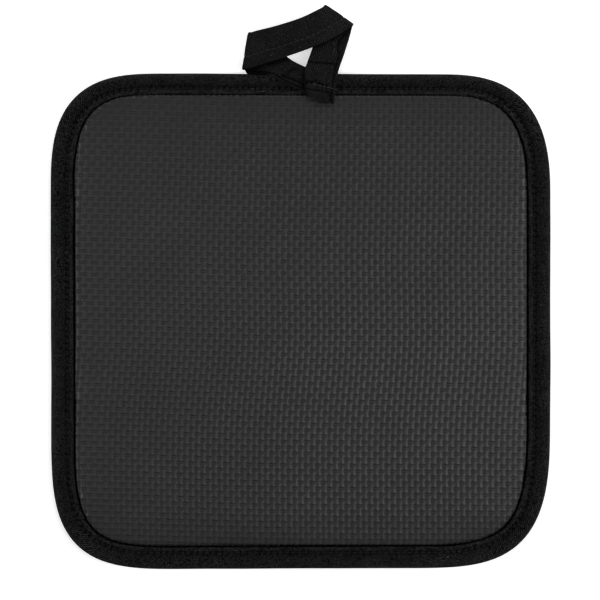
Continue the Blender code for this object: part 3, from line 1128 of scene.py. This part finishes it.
def strand_rows(table, folds):
    rows, folds = [], list(folds)
    for name, open_x, open_y, open_z, folded_x, folded_y, folded_z in table:
        open_at, folded_at = Vector((open_x, open_y)), Vector((folded_x, folded_y))
        if name == "fold":
            open_at, folded_at, _ = fold_foot(folds.pop(0))
        rows.append((Vector((*open_at, open_z)), Vector((*folded_at, folded_z))))
    return rows


def fold_lines(name, start, end, steps=14):
    outward = Vector((*fold_foot(name)[2], 0.0))
    lines = []
    for step in range(1, steps):
        turn = math.pi * step / steps
        share = 0.5 * (1.0 - math.cos(turn))
        lines.append(tuple(a.lerp(b, share) + outward * FOLD_RADIUS * math.sin(turn) for a, b in zip(start, end)))
    return lines


def loop_lines():
    """[(open end, folded end, run)] along the whole loop, and where its parts begin."""
    left = smooth_lines(strand_rows(LEFT_STRAND, ["left"]), 14)
    upper = smooth_lines(strand_rows(UPPER_STRIP, ["left", "right"]), 18)
    right = smooth_lines(strand_rows(RIGHT_STRAND, ["right"]), 15)
    lines = left + fold_lines("left", left[-1], upper[0])
    upper_from = len(lines)
    lines += upper + fold_lines("right", upper[-1], right[0])
    right_from = len(lines)
    lines += right
    made, run = [], 0.0
    for i, (a, b) in enumerate(lines):
        if i:
            run += ((a + b) / 2 - sum(lines[i - 1], Vector((0, 0, 0))) / 2).length
        made.append((a, b, run))
    return made, upper_from, right_from


LOOP_LINES, UPPER_FROM, RIGHT_FROM = loop_lines()


def loop_point(i, from_open):
    """A point of the tape's middle surface and the direction out of its wide ply."""
    i = min(max(i, 0), len(LOOP_LINES) - 1)
    a, b, _ = LOOP_LINES[i]
    share = from_open / LOOP_WIDTH
    here = a.lerp(b, share)
    lo, hi = LOOP_LINES[max(i - 1, 0)], LOOP_LINES[min(i + 1, len(LOOP_LINES) - 1)]
    along = hi[0].lerp(hi[1], share) - lo[0].lerp(lo[1], share)
    return here, along.normalized().cross((b - a).normalized()).normalized()


def fine_section():
    """The section's points, with more between those that lie far apart."""
    made = []
    for (name, a, s), (_, b, t) in zip(LOOP_SECTION, LOOP_SECTION[1:] + LOOP_SECTION[:1]):
        steps = max(1, round(math.hypot(b - a, t - s) / 0.6))
        made += [(name if step == 0 else "", a + (b - a) * step / steps, s + (t - s) * step / steps) for step in range(steps)]
    return made


def creased(strand, x, y):
    """How far the creases press this spot of the tape down, and how open it lies, which sets the painted shade in
    creases, under the strand above and in the needle holes, and the painted light on the upper strip's right.
    """
    depth, openness = 0.0, 1.0
    for where, x0, y0, x1, y1, width, deep, shade in LOOP_CREASES:
        if where != strand:
            continue
        along = Vector((x1 - x0, y1 - y0))
        share = min(max((x - x0) * along.x + (y - y0) * along.y, 0.0) / along.length_squared, 1.0)
        off = math.hypot(x - x0 - along.x * share, y - y0 - along.y * share)
        near = math.exp(-((off / width) ** 2))
        depth = max(depth, deep * near)
        openness *= 1.0 - shade * near
    if strand == "right":
        # painted shade in the needle holes of the row that sews the loop down
        for hole_x, hole_y in SEWN_HOLES:
            near = math.exp(-((((x - hole_x) / 0.58) ** 2 + ((y - hole_y) / 0.80) ** 2) ** 2))
            depth = max(depth, 0.6 * near)
            openness *= 1.0 - near
    # painted light: the upper strip lighter towards its right
    if strand == "upper":
        openness *= 1.0 + 0.45 * smooth_step((x - 2.0) / 14.0)
    return depth, openness


def make_loop(material):
    bm = bmesh.new()
    tape = bm.verts.layers.float_vector.new("tape")
    relief = bm.verts.layers.float.new("relief")
    rings = []
    last = len(LOOP_LINES) - 1
    section = fine_section()
    around = [0.0]
    for (_, a, s), (_, b, t) in zip(section, section[1:]):
        around.append(around[-1] + math.hypot(b - a, t - s))
    turned = next(k for k, row in enumerate(section) if row[0] == "fold_c")
    for i, (open_end, folded_end, run) in enumerate(LOOP_LINES):
        ring = []
        swing = 0.0
        if i >= RIGHT_FROM:
            swing = NARROW_SWING * math.exp(-(((open_end.y - NARROW_SWING_Y) / 3.6) ** 2))
        dip = 0.5 + 0.5 * math.cos(2 * math.pi * run / 2.4)
        strand = "left" if i < UPPER_FROM else "upper" if i < RIGHT_FROM else "right"
        for k, (name, from_open, side) in enumerate(section):
            swung = 0.0
            if k > turned:  # the narrow ply, whose edge may lie further in
                swung = swing * min(from_open / 1.74, (LOOP_WIDTH - from_open) / (LOOP_WIDTH - 1.74))
                from_open += swung
            here, out = loop_point(i, from_open)
            if "seam" in name:
                pull = 0.13 if name.endswith("seam") else 0.04
                side -= math.copysign(pull * dip**3, side)
            level = 0.07 * wobble(run / 7.0, from_open / 5.0, 1.0) + 0.035 * wobble(run / 2.2, from_open / 2.5, 6.0)
            spot = here + out * (side + level)
            share = 1.0 - (last - i) / CUT_BULGE_LINES
            if share > 0.0:
                along = (LOOP_LINES[-1][0] - LOOP_LINES[-2][0]).normalized()
                spot += along * (CUT_BULGE * share * math.exp(-(((from_open - CUT_BULGE_AT) / 3.2) ** 2)))
            if i in (0, last):  # the cut ends are a little ragged
                along = (LOOP_LINES[1][0] - LOOP_LINES[0][0]) if i == 0 else (LOOP_LINES[-1][0] - LOOP_LINES[-2][0])
                spot += along.normalized() * (0.45 * wobble(from_open / 0.9, 13.0 + i, side))
            depth, openness = creased(strand, spot.x, spot.y)
            spot.z -= depth
            vert = bm.verts.new(spot * MM)
            vert[tape] = Vector((run, around[k] - swung, 0.0))
            # painted shade at the ply's step and in the seam's dips, painted light on the wide ply's edge
            openness *= SECTION_SHADE.get(name, 1.0)
            vert[relief] = openness * (0.8 - 0.5 * dip**3 if name.endswith("seam") else 1.0)
            ring.append(vert)
        rings.append(ring)
    size = len(section)
    for a, b in zip(rings, rings[1:]):
        for k in range(size):
            nxt = (k + 1) % size
            bm.faces.new((a[k], b[k], b[nxt], a[nxt]))
    for ring in (rings[0], rings[-1]):
        face = bm.faces.new(ring)
        bmesh.ops.triangulate(bm, faces=[face])
    bmesh.ops.recalc_face_normals(bm, faces=bm.faces)
    obj = add_object("loop_tape", bm, [material])
    obj.data.set_sharp_from_angle(angle=math.radians(60))
    return obj


def make_loop_stitches(materials, loop):
    tree = BVHTree.FromPolygons(
        [v.co.copy() for v in loop.data.vertices], [tuple(p.vertices) for p in loop.data.polygons]
    )
    bm = bmesh.new()
    tape = bm.verts.layers.float_vector.new("tape")
    rng = random.Random(3)

    # the edge stitching, on both plies
    pitch, total = 2.4, LOOP_LINES[-1][2]
    runs = [line[2] for line in LOOP_LINES]

    def at_run(run, side):
        i = 0
        while i + 1 < len(runs) - 1 and runs[i + 1] < run:
            i += 1
        share = min(max((run - runs[i]) / max(runs[i + 1] - runs[i], 1e-6), 0.0), 1.0)
        (p, n), (q, m) = loop_point(i, LOOP_SEAM), loop_point(i + 1, LOOP_SEAM)
        return p.lerp(q, share) + n.lerp(m, share).normalized() * side

    for side, sign in ((0.26, 1.0), (-0.24, -1.0)):
        for k in range(int(total / pitch)):
            start = (k + 0.5) * pitch
            path = []
            for share in (0.14, 0.26, 0.42, 0.58, 0.74, 0.86):
                lift = side + sign * (0.08 - 0.45 * (2 * abs(share - 0.5)) ** 3)
                path.append(at_run(start + pitch * (share - 0.5) + 0.5 * pitch, lift))
            tube(bm, tape, path, 0.15)
        if sign > 0:
            wide_faces = len(bm.faces)

    # the row that sews the loop to the holder
    seam_faces = len(bm.faces)

    def surface(x, y):
        hit = tree.ray_cast(Vector((x, y, 20.0)) * MM, Vector((0, 0, -1)))[0]
        return hit.z / MM if hit else 6.4

    for (x0, y0), (x1, y1) in zip(SEWN_ROW, SEWN_ROW[1:]):
        path = []
        for share in (0.04, 0.18, 0.4, 0.6, 0.82, 0.96):
            x, y = x0 + (x1 - x0) * share, y0 + (y1 - y0) * share
            dip = 0.5 * (2 * abs(share - 0.5)) ** 4
            path.append(Vector((x, y, surface(x, y) + 0.08 - dip)))
        tube(bm, tape, path, 0.12)
    path = []
    for k, (x, y) in enumerate(THREAD_END):
        z = surface(x, y) if x < 14.2 else 6.9
        path.append(Vector((x, y, z + (0.12 if k else -0.2))))
    tube(bm, tape, path, 0.10)
    for k, face in enumerate(bm.faces):
        face.material_index = 1 if k >= seam_faces else 2 if k < wide_faces else 0

    # frayed fibres at the cut end that shows
    open_end, folded_end, _ = LOOP_LINES[-1]
    along = (LOOP_LINES[-1][0] - LOOP_LINES[-3][0]).normalized()
    for _ in range(26):
        share = rng.uniform(0.03, 0.97)
        start = open_end.lerp(folded_end, share) - along * 0.3
        start.z += rng.uniform(-0.35, 0.4)
        reach = rng.uniform(0.5, 1.5)
        bend = Vector((rng.uniform(-0.5, 0.5), rng.uniform(-0.3, 0.1), rng.uniform(-0.25, 0.1)))
        path = [start + along * (0.3 + reach) * t + bend * t * t for t in (0.0, 0.35, 0.7, 1.0)]
        tube(bm, tape, path, 0.05, sides=4)
    bmesh.ops.recalc_face_normals(bm, faces=bm.faces)
    return add_object("loop_stitches", bm, materials)


# ---- the scene ---------------------------------------------------------------


def make_camera():
    data = bpy.data.cameras.new("camera")
    data.lens, data.sensor_width = LENS, SENSOR
    data.clip_start, data.clip_end = 0.05, 20.0
    camera = bpy.data.objects.new("camera", data)
    bpy.context.scene.collection.objects.link(camera)
    height = VIEW_WIDTH * LENS / SENSOR + 2.45
    camera.location = Vector((CAMERA_X, CAMERA_Y, height)) * MM
    bpy.context.scene.camera = camera
    return camera


def make_floor():
    bm = bmesh.new()
    bmesh.ops.create_grid(bm, x_segments=1, y_segments=1, size=4.0)
    for vert in bm.verts:
        vert.co.z = -0.0002
    s = Shader("pale_floor", (0.93, 0.93, 0.93), 0.9, 0.0)
    s.shader.inputs["Emission Color"].default_value = (1.0, 1.0, 1.0, 1.0)
    s.shader.inputs["Emission Strength"].default_value = 0.50
    floor = add_object("floor", bm, [s.material])
    return floor


LIGHTS = (
    # name,       x,     y,    z,  size_x, size_y, power
    ("over",   0.270, -0.060, 0.70, 0.24, 0.24, 0.82),
    ("over_left", -0.130, 0.010, 0.75, 0.24, 0.24, 0.24),
    ("right",  1.15,  0.00, 0.55, 0.60, 1.20, 11.2),
    ("left",  -1.15,  0.00, 0.55, 0.60, 1.20, 9.0),
    ("front",  0.00, -1.15, 0.55, 1.20, 0.60, 0.5),
    ("back",   0.00,  1.15, 0.55, 1.20, 0.60, 6.8),
)


def make_lights():
    for name, x, y, z, size_x, size_y, power in LIGHTS:
        data = bpy.data.lights.new("light_" + name, "AREA")
        data.shape = "RECTANGLE"
        data.size, data.size_y = size_x, size_y
        data.energy = power
        light = bpy.data.objects.new("light_" + name, data)
        light.location = (x, y, z)
        light.rotation_euler = (Vector((0.0, 0.0, 0.0)) - light.location).to_track_quat("-Z", "Y").to_euler()
        bpy.context.scene.collection.objects.link(light)
    world = bpy.data.worlds.new("studio")
    world.use_nodes = True
    world.node_tree.nodes["Background"].inputs["Color"].default_value = (1.0, 1.0, 1.0, 1.0)
    world.node_tree.nodes["Background"].inputs["Strength"].default_value = 0.10
    bpy.context.scene.world = world
    view = bpy.context.scene.view_settings
    view.view_transform = "Standard"
    view.look = "None"
    view.exposure = 0.0
    view.gamma = 1.0


def main():
    make_camera()
    pad = make_pad([rubber_material(), back_material(), painted_hem_shadow_material()])
    twill = twill_material("binding_twill", 45.0)
    loop_twill = twill_material("loop_twill", 62.0, 1.0, 0.50, 0.85)
    thread = thread_material("black_thread", 0.0062, 0.0125)
    seam_thread = thread_material("seam_thread", 0.0080, 0.0140)
    upper_thread = thread_material("upper_thread", 0.0210, 0.0340)
    sewing_thread = thread_material("sewing_thread", 0.0400, 0.0600)
    binding = make_binding(twill)
    edge_stitches = make_edge_stitches(thread, binding)
    loop = make_loop(loop_twill)
    loop_stitches = make_loop_stitches([seam_thread, sewing_thread, upper_thread], loop)

    for piece in (pad, binding, edge_stitches, loop, loop_stitches):
        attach(piece, "root")
    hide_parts("panel")
    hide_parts("binding")
    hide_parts("hanging_loop")

    make_floor()
    make_lights()


main()
